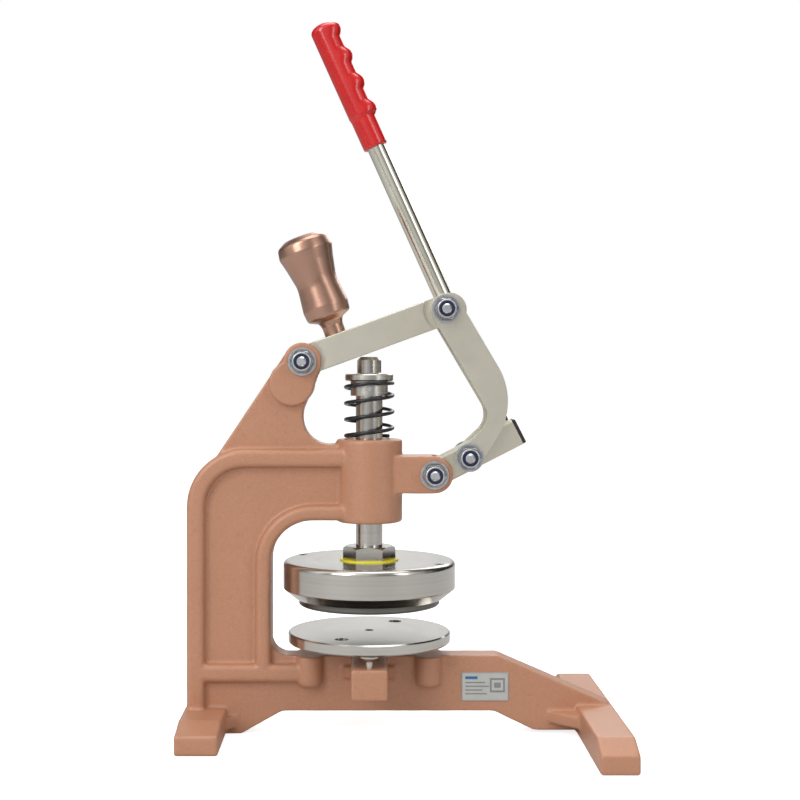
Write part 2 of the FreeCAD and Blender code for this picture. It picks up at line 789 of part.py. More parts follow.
def knob():
    profile = [
        ("0", "knob_stud_deep"),
        ("knob_stud_diameter / 2 + thread_gap", "knob_stud_deep"),
        ("knob_stud_diameter / 2 + thread_gap", "0"),
        ("knob_neck", "0"),
        ("knob_neck", "knob_neck_high", "5"),
        ("knob_base", "knob_neck_high + 4", "7"),
        ("knob_waist", "knob_rim_high * 0.62", "60"),
        ("knob_rim", "knob_rim_high", "6"),
        ("knob_rim - 4", "knob_high - 1.5", "4"),
        ("0", "knob_high"),
    ]
    piece = turned("Knob", profile)
    node(on_arm(piece, "knob_along", "arm_high / 2 + face_gap / 3"), "knob")
    stud = cylinder("KnobStud", "knob_stud_diameter", "knob_stud_deep * 2 - 2")
    node(on_arm(stud, "knob_along", "arm_high / 2 - knob_stud_deep + 0.5"), "knob_stud")


# ---------------------------------------------------------------- lever bar and handle

def lever_bar():
    half = "bar_square / 2"
    bar = slab("BarStock", [
        ("0", f"-{half}"),
        ("bar_reach", f"-{half}"),
        ("bar_reach", half),
        ("0", half),
    ], "bar_square")
    chamfers = []
    for i, (y, z) in enumerate(((1, 1), (1, -1), (-1, 1), (-1, -1))):
        wedge = slab(f"BarCorner{i}", [
            (f"{y} * {half}", f"{z} * ({half} - bar_chamfer)"),
            (f"{y} * ({half} + bar_chamfer)", f"{z} * ({half} - bar_chamfer)"),
            (f"{y} * ({half} + bar_chamfer)", f"{z} * ({half} + bar_chamfer)"),
            (f"{y} * ({half} - bar_chamfer)", f"{z} * {half}"),
        ], "bar_reach * 4", plane="front")
        chamfers.append(wedge)
    root = across("BarRoot", "bar_square", "bar_square")
    hole = "bolt_diameter + 2 * bolt_clearance"
    tools = [
        across("BarPivotHole", hole, "bar_square * 2"),
        across("BarLinkHole", hole, "bar_square * 2", "link_pivot_along"),
    ]
    bar = cut("LeverBar", fuse("BarBlank", bar, root), *tools, *chamfers)
    node(place(bar, "lever_x", "0", "lever_z", tilt="bar_tilt"), "lever_bar")
    cap = slab("BarCap", [
        ("bar_reach", f"-{half} + cap_inset"),
        ("bar_reach + cap_thick", f"-{half} + cap_inset", "rod_edge"),
        ("bar_reach + cap_thick", f"{half} - cap_inset", "rod_edge"),
        ("bar_reach", f"{half} - cap_inset"),
    ], "bar_square - 2 * cap_inset")
    node(place(cap, "lever_x", "0", "lever_z", tilt="bar_tilt"), "bar_end_cap")


def handle():
    """The round boss on the bar's rear face, the rod through it and the finger grip."""
    wide, stem = "handle_boss_diameter / 2", "handle_stem_diameter / 2"
    step = "link_outer + stem_gap - bar_square / 2"
    out = "rod_offset - bar_square / 2 + handle_boss_proud"
    boss = turned("HandleBossBlank", [
        ("0", "0"),
        (stem, "0"),
        (stem, step),
        (wide, step),
        (wide, f"{out} - rod_edge"),
        (f"{wide} - rod_edge", out),
        ("0", out),
    ], "rod_x", "bar_square / 2", "rod_z", "back")
    way = cylinder("RodWay", "rod_diameter + 2 * thread_gap", "handle_boss_diameter * 3")
    place(way, "rod_x + handle_boss_diameter * 1.5 * sin(rod_lean)", "rod_offset",
          "rod_z - handle_boss_diameter * 1.5 * cos(rod_lean)", tilt="rod_lean")
    node(cut("HandleBoss", boss, way), "handle_boss")
    rod = turned("HandleRod", [
        ("0", "-handle_boss_diameter / 2"),
        ("rod_diameter / 2 - rod_edge", "-handle_boss_diameter / 2"),
        ("rod_diameter / 2", "rod_edge - handle_boss_diameter / 2"),
        ("rod_diameter / 2", "rod_top - rod_edge"),
        ("rod_diameter / 2 - rod_edge", "rod_top"),
        ("0", "rod_top"),
    ])
    node(place(rod, "rod_x", "rod_offset", "rod_z", tilt="rod_lean"), "handle_rod")
    finger_grip()


def on_rod(thing, along, ahead="0"):
    """Put a thing at a distance up the handle rod and ahead of its axis."""
    return place(thing, f"rod_x - ({along}) * sin(rod_lean) + ({ahead}) * cos(rod_lean)",
                 "rod_offset",
                 f"rod_z + ({along}) * cos(rod_lean) + ({ahead}) * sin(rod_lean)", tilt="rod_lean")


def finger_grip():
    """A round sleeve on the rod's end, with swellings between the fingers."""
    sleeve = on_rod(turned("GripSleeve", [
        ("0", "0"),
        ("cuff_diameter / 2", "0", "rod_edge"),
        ("cuff_diameter / 2", "cuff_long"),
        ("grip_diameter / 2", "cuff_long + rod_edge"),
        ("grip_diameter / 2", "grip_long", "grip_round"),
        ("0", "grip_long"),
    ]), "grip_start")
    bumps = []
    for finger in range(int(number("finger_count"))):
        bump = doc.addObject("Part::Sphere", f"GripFinger{finger}")
        bind(bump, "Radius", "finger_round")
        along = f"grip_start + finger_first + finger_pitch * {finger}"
        bumps.append(on_rod(bump, along, "finger_offset"))
    bore = cylinder("GripBore", "rod_diameter + 2 * thread_gap",
                    "grip_long - grip_end_thick + face_gap + rod_edge")
    on_rod(bore, "grip_start - rod_edge")
    return node(cut("Grip", fuse("GripBlank", sleeve, *bumps), bore), "grip")


# ---------------------------------------------------------------- link plates

def link_plate(name, label, y_low, y_high, sunk=False):
    """One curved plate from the press arm's tip down to the lever bar."""
    lean_x, lean_z = "sin(link_lean)", "cos(link_lean)"
    along = f"tip_x + link_knee * {lean_x}", f"tip_z - link_knee * {lean_z}"
    side = f"link_half * {lean_z}", f"link_half * {lean_x}"
    heel = "leg_end_round * cos(leg_front_angle)", "leg_end_round * sin(leg_front_angle)"
    instep = "leg_end_round * cos(leg_back_angle)", "leg_end_round * sin(leg_back_angle)"
    strip = slab(name + "Strip", [
        (f"tip_x + {side[0]}", f"tip_z + {side[1]}"),
        (f"{along[0]} + {side[0]}", f"{along[1]} + {side[1]}", "link_back_round"),
        (f"link_x + {heel[0]}", f"link_z - {heel[1]}"),
        (f"link_x - {instep[0]}", f"link_z + {instep[1]}"),
        (f"{along[0]} - {side[0]}", f"{along[1]} - {side[1]}", "link_knee_round"),
        (f"tip_x - {side[0]}", f"tip_z - {side[1]}"),
    ], "link_thick", offset=f"-({y_low} + link_thick / 2)")
    top = cylinder(name + "Top", "link_width", "link_thick", "tip_x", y_low, "tip_z", "back")
    end = cylinder(name + "End", "leg_end_round * 2", "link_thick",
                   "link_x", y_low, "link_z", "back")
    tools = []
    for hole, x, z in (("TopHole", "tip_x", "tip_z"), ("EndHole", "link_x", "link_z")):
        tools.append(cylinder(name + hole, "bolt_diameter + 2 * bolt_clearance", "link_thick * 2",
                              x, f"{y_low} - link_thick / 2", z, "back"))
    if sunk:
        tools.append(turned(name + "Sink", [
            ("0", "-1"),
            ("sink_diameter / 2", "-1"),
            ("sink_diameter / 2", "sink_gap"),
            ("bolt_diameter / 2", "sink_deep"),
            ("0", "sink_deep"),
        ], "tip_x", y_high, "tip_z", "front"))
    return node(cut(name, fuse(name + "Blank", strip, top, end), *tools), label)


def link_top():
    """The countersunk bolt through the plates and the arm's tongue, with its front nut."""
    bolt = turned("TopBolt", [
        ("0", "-link_outer + face_gap"),
        ("sink_diameter / 2 - sink_gap", "-link_outer + face_gap"),
        ("sink_diameter / 2 - sink_gap", "-link_outer + 2 * face_gap"),
        ("bolt_diameter / 2", "-link_outer + sink_deep"),
        *bolt_end("link_outer + washer_thick"),
    ], "tip_x", "0", "tip_z", "front")
    node(bolt, "link_top_bolt")
    disc = cylinder("TopWasher", "washer_diameter", "washer_thick",
                    "tip_x", "-link_outer - washer_thick", "tip_z", "back")
    hole = cylinder("TopWasherHole", "bolt_diameter + 2 * thread_gap", "washer_thick * 3",
                    "tip_x", "-link_outer - washer_thick * 2", "tip_z", "back")
    node(cut("TopWasherRing", disc, hole), "link_top_washer")
    lock_nut("TopNut", "link_top", "tip_x", "tip_z", "-(link_outer + washer_thick)")


# ---------------------------------------------------------------- ram, collar and spring

def ram():
    big, small = "ram_diameter / 2", "ram_stub_diameter / 2"
    rod = turned("RamRod", [
        ("0", "ram_low"),
        (f"{big} - rod_edge", "ram_low"),
        (big, "ram_low + rod_edge"),
        (big, "collar_low + collar_thick"),
        (small, "collar_low + collar_thick + ring_edge"),
        (small, "ram_top - ram_edge"),
        (f"{small} - ram_edge", "ram_top"),
        ("0", "ram_top"),
    ], "ram_x")
    hole = across("RamPinHole", "collar_pin_diameter + 2 * thread_gap", "ram_diameter * 2",
                  "ram_x", "collar_low - spigot_long / 2")
    return node(cut("Ram", rod, hole), "ram")


def spring_collar():
    bore = "ram_diameter / 2 + thread_gap"
    ring = turned("CollarRing", [
        (bore, "collar_low - spigot_long"),
        ("spigot_diameter / 2", "collar_low - spigot_long"),
        ("spigot_diameter / 2", "collar_low"),
        ("collar_diameter / 2 - ring_edge", "collar_low"),
        ("collar_diameter / 2", "collar_low + ring_edge"),
        ("collar_diameter / 2", "collar_low + collar_thick - ring_edge"),
        ("collar_diameter / 2 - ring_edge", "collar_low + collar_thick"),
        (bore, "collar_low + collar_thick"),
    ], "ram_x")
    hole = across("CollarPinHole", "collar_pin_diameter + 2 * thread_gap", "collar_diameter * 2",
                  "ram_x", "collar_low - spigot_long / 2")
    node(cut("SpringCollar", ring, hole), "spring_collar")
    node(across("CollarPin", "collar_pin_diameter", "spigot_diameter", "ram_x",
                "collar_low - spigot_long / 2"), "collar_pin")


def return_spring():
    """An open coil between the boss and the collar."""
    reach = "(spring_diameter - spring_wire) / 2"
    path = doc.addObject("Part::Helix", "SpringPath")
    bind(path, "Radius", reach)
    bind(path, "Height", "spring_high - spring_wire - 2 * face_gap")
    bind(path, "Pitch", "(spring_high - spring_wire - 2 * face_gap) / spring_turns")
    wire = doc.addObject("Part::Circle", "SpringSection")
    wire.Placement = Placement(Vector(), Rotation(Vector(1, 0, 0), 90))
    bind(wire, "Radius", "spring_wire / 2")
    bind(wire, "Placement.Base.x", reach)
    coil = doc.addObject("Part::Sweep", "ReturnSpring")
    coil.Sections = [wire]
    coil.Spine = (path, ["Edge1"])
    coil.Solid = True
    coil.Frenet = True
    return node(place(coil, "ram_x", "0", "boss_top + spring_wire / 2 + face_gap"), "return_spring")


# ---------------------------------------------------------------- upper die

def upper_die():
    rim, ring = "die_diameter / 2", "die_ring_diameter / 2"
    body = turned("DieBlank", [
        ("0", "die_low + die_recess_deep"),
        ("die_ring_recess / 2", "die_low + die_recess_deep"),
        ("die_ring_recess / 2", "die_low"),
        (f"{rim} - die_chamfer_in", "die_low"),
        (rim, "die_low + die_chamfer_high", "rod_edge"),
        (rim, "die_top", "die_top_round"),
        ("0", "die_top"),
    ], "ram_x")
    tools = [cylinder("DieSocket", "ram_diameter + 2 * thread_gap", "die_socket_deep * 2",
                      "ram_x", "0", "die_top - die_socket_deep")]
    screws = []
    for i, turn in enumerate(("die_screw_angle", "die_screw_angle + 180")):
        x = f"ram_x + die_screw_circle / 2 * cos({turn})"
        y = f"die_screw_circle / 2 * sin({turn})"
        tools.append(cylinder(f"DieScrewHole{i}", "die_screw_diameter + 2 * thread_gap",
                              "die_screw_deep * 2", x, y, "die_top - die_screw_deep"))
        head = cylinder(f"DieScrewHead{i}", "die_screw_diameter",
                        "die_screw_deep - die_screw_sink - face_gap", x, y,
                        "die_top - die_screw_deep + face_gap")
        socket = hexagon(f"DieScrewSocket{i}", "die_screw_diameter / 2", "die_screw_deep",
                         x, y, "die_top - die_screw_deep / 2")
        screws.append(cut(f"DieScrew{i}", head, socket))
    node(cut("UpperDie", body, *tools), "upper_die")
    pair = doc.addObject("Part::Compound", "DieScrews")
    pair.Links = screws
    node(pair, "die_screws")
    node(turned("DieRing", [
        ("die_ring_recess / 2 - die_ring_lip", "die_low - die_ring_thick"),
        (f"{ring} - ring_edge", "die_low - die_ring_thick"),
        (ring, "die_low - die_ring_thick + ring_edge"),
        (ring, "die_low"),
        ("die_ring_recess / 2 - thread_gap", "die_low"),
        ("die_ring_recess / 2 - thread_gap", "die_low + die_recess_deep"),
        ("die_ring_recess / 2 - die_ring_lip", "die_low + die_recess_deep"),
    ], "ram_x"), "die_ring")


def die_clamp():
    """The thin bright shim on the die and the large lock nut over it."""
    bore = "ram_diameter / 2 + thread_gap"
    node(turned("DieShim", [
        (bore, "die_top"),
        ("shim_diameter / 2", "die_top"),
        ("shim_diameter / 2", "die_top + shim_thick"),
        (bore, "die_top + shim_thick"),
    ], "ram_x"), "die_shim")
    low = "die_top + shim_thick"
    hexed = hexagon("LockHex", "lock_nut_flats", "lock_nut_high", "ram_x", "0", low)
    rounding = turned("LockCorners", [
        (bore, low),
        ("lock_nut_flats / sqrt(3)", low),
        ("lock_nut_flats / sqrt(3)", f"{low} + lock_nut_high - nut_corner_drop"),
        ("lock_nut_flats / 2", f"{low} + lock_nut_high"),
        (bore, f"{low} + lock_nut_high"),
    ], "ram_x")
    node(common("LockNut", hexed, rounding), "die_lock_nut")


# ---------------------------------------------------------------- lower plate and label

def lower_plate():
    rim = "plate_diameter / 2"
    disc = turned("PlateBlank", [
        ("plate_hole / 2", "plate_low"),
        (f"{rim} - plate_edge", "plate_low"),
        (rim, "plate_low + plate_edge"),
        (rim, "plate_top - plate_edge"),
        (f"{rim} - plate_edge", "plate_top"),
        ("plate_hole / 2", "plate_top"),
    ], "ram_x")
    tools, screws = [], []
    for i, turn in enumerate((-1, 1)):
        x, y = f"ram_x + {turn} * screw_x", f"{turn} * screw_y"
        tools.append(cylinder(f"PlateScrewHole{i}", "screw_diameter + 2 * thread_gap",
                              "plate_thick * 2", x, y, "plate_low - plate_thick / 2"))
        tools.append(cylinder(f"PlateCounterbore{i}", "counterbore", "counterbore_deep * 2",
                              x, y, "plate_top - counterbore_deep"))
        shank = cylinder(f"PlateShank{i}", "screw_diameter", "plate_thick - screw_sink - 1",
                         x, y, "plate_low + 1")
        head = cylinder(f"PlateHead{i}", "counterbore - rod_edge",
                        "counterbore_deep - screw_sink - face_gap / 3",
                        x, y, "plate_top - counterbore_deep + face_gap / 3")
        socket = hexagon(f"PlateSocket{i}", "screw_diameter * 0.6", "plate_thick",
                         x, y, "plate_top - counterbore_deep - 1")
        screws.append(cut(f"PlateScrew{i}", fuse(f"PlateScrewBlank{i}", shank, head), socket))
    node(cut("LowerPlate", disc, *tools), "lower_plate")
    pair = doc.addObject("Part::Compound", "PlateScrews")
    pair.Links = screws
    node(pair, "plate_screws")
    post = cylinder("PostBlank", "post_diameter", "plate_over", "ram_x", "0", "base_top")
    bore = cylinder("PostBore", "plate_hole - 1.4", "plate_over", "ram_x", "0", "base_top + 2")
    node(cut("PlatePost", post, bore), "plate_post")
    studs = []
    for i, side in enumerate((-1, 1)):
        studs.append(turned(f"SupportStud{i}", [
            ("0", "base_top"),
            ("support_stem / 2", "base_top"),
            ("support_stem / 2", "plate_low - support_head_high"),
            ("support_head / 2", "plate_low - 1"),
            ("support_head / 2", "plate_low"),
            ("0", "plate_low"),
        ], "ram_x", f"{side} * support_offset"))
    both = doc.addObject("Part::Compound", "SupportStuds")
    both.Links = studs
    node(both, "plate_support_studs")


def label_plate():
    tag = block("LabelPlate", "label_long", "label_thick", "label_high",
                "label_ahead - label_long / 2", "-beam_thick / 2 - label_thick",
                "label_up - label_high / 2")
    return node(tag, "label_plate")


# ---------------------------------------------------------------- assembly and export

frame_casting()
guide_bush()
lower_plate()
label_plate()
pivot_set("ArmPivot", "arm_pivot", "arm_x", "arm_z", "clevis_thick / 2")
pivot_set("LeverPivot", "lever_pivot", "lever_x", "lever_z", "clevis_thick / 2")
pivot_set("LinkPivot", "link_pivot", "link_x", "link_z", "link_outer")
press_arm()
knob()
lever_bar()
handle()
link_plate("LinkFront", "link_plate_front", "-link_outer", "-link_inner")
link_plate("LinkRear", "link_plate_rear", "link_inner", "link_outer", sunk=True)
link_top()
ram()
spring_collar()
return_spring()
upper_die()
die_clamp()

doc.recompute()
for thing in doc.Objects:
    if "Invalid" in thing.State or "Error" in thing.State:
        raise RuntimeError(f"{thing.Name} did not build: {thing.State}")
os.makedirs("parts", exist_ok=True)
for piece in nodes:
    shape = piece.Shape
    if shape.isNull() or not shape.isValid() or not shape.Solids:
        raise RuntimeError(f"{piece.Label} has no valid solid")
    shape.exportStep(f"parts/{piece.Label}.step")
    print(piece.Label, len(shape.Solids), round(shape.Volume))
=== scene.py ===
import json
import math
from contextlib import contextmanager

import bmesh
import bpy
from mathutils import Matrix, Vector, noise


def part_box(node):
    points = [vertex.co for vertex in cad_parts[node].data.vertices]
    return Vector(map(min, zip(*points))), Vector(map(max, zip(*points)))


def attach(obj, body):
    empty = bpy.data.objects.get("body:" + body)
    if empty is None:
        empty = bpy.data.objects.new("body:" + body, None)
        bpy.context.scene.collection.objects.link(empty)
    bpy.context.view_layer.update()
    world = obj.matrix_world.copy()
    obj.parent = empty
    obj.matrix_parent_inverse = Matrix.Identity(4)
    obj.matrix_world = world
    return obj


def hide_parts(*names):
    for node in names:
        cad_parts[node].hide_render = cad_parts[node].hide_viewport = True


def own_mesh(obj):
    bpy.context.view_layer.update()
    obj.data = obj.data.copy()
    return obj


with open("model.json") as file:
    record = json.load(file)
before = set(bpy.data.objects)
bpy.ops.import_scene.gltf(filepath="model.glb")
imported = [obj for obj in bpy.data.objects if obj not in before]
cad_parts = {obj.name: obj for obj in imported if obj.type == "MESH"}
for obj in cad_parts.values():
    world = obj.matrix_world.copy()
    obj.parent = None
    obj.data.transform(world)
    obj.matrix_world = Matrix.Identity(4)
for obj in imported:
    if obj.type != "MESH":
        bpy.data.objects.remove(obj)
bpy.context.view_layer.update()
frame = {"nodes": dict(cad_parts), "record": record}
MM = 0.001


# ---------------------------------------------------------------- places, read from the frame

def middle(node):
    low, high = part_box(node)
    return (low + high) / 2


RAM_AXIS = middle("ram")
ARM_PIVOT = middle("arm_pivot_washers")
UPRIGHT = Vector((0, 0, 1))


def leaning(degrees):
    """The direction that leans back from upright by that angle, and the forward one square to it."""
    lean = math.radians(degrees)
    return Vector((-math.sin(lean), 0, math.cos(lean))), Vector((math.cos(lean), 0, math.sin(lean)))


# ---------------------------------------------------------------- shader arithmetic

def maths(operation, swapped=False):
    """A method that adds the Math node for one operator."""
    def method(self, other):
        first, second = (other, self) if swapped else (self, other)
        return self.nodes.node("ShaderNodeMath", {"operation": operation}, {0: first, 1: second})
    return method


class Value:
    """One socket of a node, so that sums of masks read as arithmetic."""

    def __init__(self, nodes, socket):
        self.nodes = nodes
        self.socket = socket

    __add__ = maths("ADD")
    __radd__ = maths("ADD", swapped=True)
    __sub__ = maths("SUBTRACT")
    __rsub__ = maths("SUBTRACT", swapped=True)
    __mul__ = maths("MULTIPLY")
    __rmul__ = maths("MULTIPLY", swapped=True)
    __truediv__ = maths("DIVIDE")
    __rtruediv__ = maths("DIVIDE", swapped=True)
    __pow__ = maths("POWER")
    __rpow__ = maths("POWER", swapped=True)
    above = maths("GREATER_THAN")
    bearing_from = maths("ARCTAN2")

    def kept(self):
        """The value held between 0 and 1."""
        return self.nodes.node("ShaderNodeClamp", {}, {"Value": self})


class Nodes:
    """A node tree, and the one method that adds a node to it."""

    def __init__(self, tree):
        self.tree = tree

    def node(self, kind, settings, inputs, output=0):
        """Any node: its settings first, then its sockets, as values or links."""
        made = self.tree.nodes.new(kind)
        for key, value in settings.items():
            if key == "stops":
                self.set_stops(made.color_ramp, value)
            else:
                setattr(made, key, value)
        for key, value in inputs.items():
            if isinstance(value, Value):
                self.tree.links.new(value.socket, made.inputs[key])
            else:
                made.inputs[key].default_value = value
        return Value(self, made.outputs[output])

    @staticmethod
    def set_stops(ramp, stops):
        """Grey stops of (place, brightness)."""
        while len(ramp.elements) < len(stops):
            ramp.elements.new(0.5)
        for element, (at, grey) in zip(ramp.elements, stops):
            element.position = at
            element.color = (grey, grey, grey, 1.0)

    def greys(self, amount, stops):
        """A grey for every amount between 0 and 1."""
        return self.node("ShaderNodeValToRGB", {"stops": stops}, {0: amount})

    def blend(self, amount, first, second, how="MIX"):
        """A colour between two colours."""
        def colour(value):
            return value if isinstance(value, Value) else (*value, 1.0)
        return self.node("ShaderNodeMix", {"data_type": "RGBA", "blend_type": how},
                         {0: amount, 6: colour(first), 7: colour(second)}, 2)

    def parts(self, vector):
        """The three parts of a vector."""
        return [self.node("ShaderNodeSeparateXYZ", {}, {0: vector}, letter) for letter in "XYZ"]

    def seen_directly(self):
        """1 where the camera looks at it, 0 where light or a reflection does."""
        return self.node("ShaderNodeLightPath", {}, {}, "Is Camera Ray")


class Finish(Nodes):
    """One material: a Principled shader and the nodes that feed it."""

    def __init__(self, name, **constants):
        self.material = bpy.data.materials.new(name)
        self.material.use_nodes = True
        super().__init__(self.material.node_tree)
        self.shader = self.tree.nodes["Principled BSDF"]
        for socket, value in constants.items():
            self.shader.inputs[socket.replace("_", " ")].default_value = value

    def feed(self, **links):
        """Join values to the shader: Base_Color, Roughness, Metallic and so on."""
        for socket, value in links.items():
            self.tree.links.new(value.socket, self.shader.inputs[socket.replace("_", " ")])
        return self

    def place(self):
        """The point of the surface in its piece's own coordinates, in metres."""
        return self.node("ShaderNodeTexCoord", {}, {}, "Object")

    def noise(self, per_metre, detail=3.0, rough=0.5, stretch=None, vector=None, offset=0.0):
        """Cloudy values about 0.5, with that many patches to the metre."""
        where = vector or self.place()
        if stretch or offset:
            scale = stretch or (1, 1, 1)
            where = self.node("ShaderNodeMapping", {}, {0: where, "Scale": scale,
                                                       "Location": (offset, offset, offset)})
        return self.node("ShaderNodeTexNoise", {}, {0: where, "Scale": per_metre, "Detail": detail,
                                                   "Roughness": rough})

    def flakes(self, per_metre):
        """Distance to the nearest of many scattered points."""
        return self.node("ShaderNodeTexVoronoi", {}, {0: self.place(), "Scale": per_metre})

    def relief(self, height, depth, strength=1.0):
        """A bumped normal; depth is the height in metres that 1 stands for."""
        return self.node("ShaderNodeBump", {}, {"Height": height, "Distance": depth,
                                               "Strength": strength})

    def turned(self, centre):
        """A vector that is the same all round an upright axis through centre."""
        x, y, z = self.parts(self.place())
        x = x - centre.x
        y = y - centre.y
        return self.node("ShaderNodeCombineXYZ", {}, {0: (x * x + y * y) ** 0.5, 1: z, 2: 0.0})


# ---------------------------------------------------------------- finishes

def cast_paint():
    """Copper-brown paint over a cast skin: fine grain, soft clouds, a little flake."""
    paint = Finish("cast_copper_paint", Roughness=0.5, Metallic=0.1, Coat_Weight=0.15,
                   Coat_Roughness=0.3)
    clouds = paint.noise(14, 4)
    grain = paint.noise(900, 3)
    pits = paint.noise(260, 4, 0.65)
    flake = paint.flakes(2600)
    tone = paint.blend(clouds, (0.45, 0.205, 0.115), (0.53, 0.26, 0.155))
    tone = paint.blend((grain - 0.42).kept() * 1.4, tone, (0.58, 0.31, 0.195))
    tone = paint.blend((0.42 - pits).kept() * 1.5, tone, (0.25, 0.10, 0.05))
    sheen = 0.5 - clouds * 0.12 + (grain - 0.5) * 0.25
    metal = (0.16 - flake).kept() * 2.2 + 0.06
    height = grain * 0.45 + pits * 0.9
    return paint.feed(Base_Color=tone, Roughness=sheen, Metallic=metal,
                      Normal=paint.relief(height, 0.16 * MM, 0.75))


def champagne_plate():
    """Satin champagne nickel on flat bars: warm clouds, faint rubbing marks."""
    plate = Finish("champagne_nickel", Metallic=1.0, Roughness=0.28)
    clouds = plate.noise(22, 4, 0.6)
    haze = plate.noise(70, 5, 0.6, offset=3.0)
    scratch = plate.noise(160, 2, stretch=(1.0, 1.0, 14.0))
    tone = plate.blend(clouds, (0.66, 0.62, 0.50), (0.82, 0.79, 0.69))
    tone = plate.blend((haze - 0.5).kept() * 1.2, tone, (0.74, 0.68, 0.52))
    sheen = 0.32 + haze * 0.14 + (scratch - 0.5) * 0.12
    return plate.feed(Base_Color=tone, Roughness=sheen,
                      Normal=plate.relief(scratch * 0.4 + haze, 0.05 * MM, 0.5))


def bright_rod():
    """Drawn nickel rod, streaked along its length."""
    rod = Finish("bright_nickel_rod", Metallic=1.0, Roughness=0.15)
    along = rod.noise(60, 4, stretch=(1.0, 1.0, 0.12))
    specks = rod.noise(900, 2)
    tone = rod.blend(along, (0.74, 0.70, 0.58), (0.90, 0.88, 0.78))
    sheen = 0.12 + along * 0.1 + (specks - 0.5) * 0.06
    return rod.feed(Base_Color=tone, Roughness=sheen,
                    Normal=rod.relief(specks, 0.02 * MM, 0.3))


def zinc():
    """Blue-white zinc plate on nuts, bolts and washers, with shade painted dark into the corners where
    parts meet.
    """
    metal = Finish("zinc_plate", Metallic=1.0, Roughness=0.26)
    patches = metal.noise(240, 3)
    fine = metal.noise(1800, 2)
    tone = metal.blend(patches, (0.56, 0.59, 0.63), (0.84, 0.85, 0.86))
    # Painted shade: the colour turns near black where ambient occlusion finds another surface close by.
    painted_corner_shade = metal.node("ShaderNodeAmbientOcclusion", {"samples": 8},
                        {"Distance": 3.5 * MM}, "AO")
    tone = metal.blend((0.92 - painted_corner_shade).kept() * 1.8, tone, (0.05, 0.055, 0.07))
    return metal.feed(Base_Color=tone, Roughness=0.2 + patches * 0.16,
                      Normal=metal.relief(fine, 0.03 * MM, 0.4))


def blue_nylon():
    """The dark blue ring of a lock nut."""
    ring = Finish("blue_nylon", Roughness=0.42)
    cloud = ring.noise(500, 3)
    tone = ring.blend(cloud, (0.006, 0.010, 0.035), (0.016, 0.028, 0.085))
    return ring.feed(Base_Color=tone, Roughness=0.36 + cloud * 0.2,
                     Normal=ring.relief(cloud, 0.04 * MM, 0.5))


def turned_steel(name, centre, sheen):
    """Steel from the lathe: fine rings about an upright axis, polished between them."""
    steel = Finish(name, Metallic=1.0, Roughness=sheen)
    track = steel.turned(centre)
    fine = steel.noise(5200, 1, vector=track)
    bands = steel.noise(420, 3, vector=track)
    smear = steel.noise(26, 3)
    tone = steel.blend(bands * 0.6 + smear * 0.4, (0.46, 0.44, 0.40), (0.74, 0.72, 0.67))
    rough = sheen - 0.06 + bands * 0.1 + smear * 0.05
    return steel.feed(Base_Color=tone, Roughness=rough,
                      Normal=steel.relief(fine * 0.7 + bands * 0.5, 0.02 * MM, 0.5))


def dark_steel():
    """Blackened steel, turned about the ram's axis."""
    steel = Finish("dark_steel", Metallic=1.0, Roughness=0.34)
    track = steel.turned(RAM_AXIS)
    bands = steel.noise(700, 3, vector=track)
    tone = steel.blend(bands, (0.10, 0.095, 0.085), (0.24, 0.23, 0.21))
    return steel.feed(Base_Color=tone, Roughness=0.28 + bands * 0.16,
                      Normal=steel.relief(bands, 0.03 * MM, 0.5))


def black_spring():
    """Oiled black wire, rubbed grey in places."""
    wire = Finish("black_spring_wire", Roughness=0.3, Metallic=0.35, Coat_Weight=0.3)
    worn = wire.noise(420, 4)
    tone = wire.blend((worn - 0.56).kept() * 3.0, (0.012, 0.012, 0.013), (0.09, 0.088, 0.085))
    return wire.feed(Base_Color=tone, Roughness=0.24 + worn * 0.22,
                     Normal=wire.relief(worn, 0.04 * MM, 0.4))


def red_vinyl():
    """Glossy dipped vinyl: deep red, a faint orange-peel skin."""
    skin = Finish("red_dipped_grip", Roughness=0.2, Coat_Weight=0.6, Coat_Roughness=0.08,
                  Specular_IOR_Level=0.55)
    cloud = skin.noise(60, 3)
    peel = skin.noise(420, 2)
    tone = skin.blend(cloud, (0.55, 0.003, 0.004), (0.68, 0.008, 0.007))
    return skin.feed(Base_Color=tone, Roughness=0.17 + cloud * 0.1,
                     Normal=skin.relief(peel, 0.06 * MM, 0.35))


def rose_pearl():
    """Pearl rose-copper lacquer over a turned knob."""
    pearl = Finish("rose_pearl", Roughness=0.3, Metallic=0.75, Coat_Weight=0.35,
                   Coat_Roughness=0.18)
    flake = pearl.flakes(3200)
    cloud = pearl.noise(30, 3)
    rings = pearl.noise(140, 2, stretch=(0.25, 0.25, 1.6))
    tone = pearl.blend(cloud, (0.40, 0.215, 0.145), (0.56, 0.335, 0.25))
    tone = pearl.blend((0.3 - flake).kept() * 1.2, tone, (0.80, 0.60, 0.52))
    return pearl.feed(Base_Color=tone, Roughness=0.25 + cloud * 0.08 + rings * 0.05,
                      Metallic=0.78 + cloud * 0.2, Normal=pearl.relief(rings, 0.04 * MM, 0.3))


def bronze():
    """The guide bush."""
    metal = Finish("bush_bronze", Metallic=1.0, Roughness=0.3)
    bands = metal.noise(400, 3, stretch=(0.2, 0.2, 4.0))
    tone = metal.blend(bands, (0.36, 0.22, 0.09), (0.62, 0.42, 0.20))
    return metal.feed(Base_Color=tone, Roughness=0.26 + bands * 0.14)


def black_plastic():
    """The moulded end cap of the lever bar."""
    cap = Finish("black_moulding", Roughness=0.45)
    grain = cap.noise(1500, 3)
    tone = cap.blend(grain, (0.008, 0.008, 0.009), (0.03, 0.03, 0.032))
    return cap.feed(Base_Color=tone, Roughness=0.4 + grain * 0.15,
                    Normal=cap.relief(grain, 0.04 * MM, 0.5))


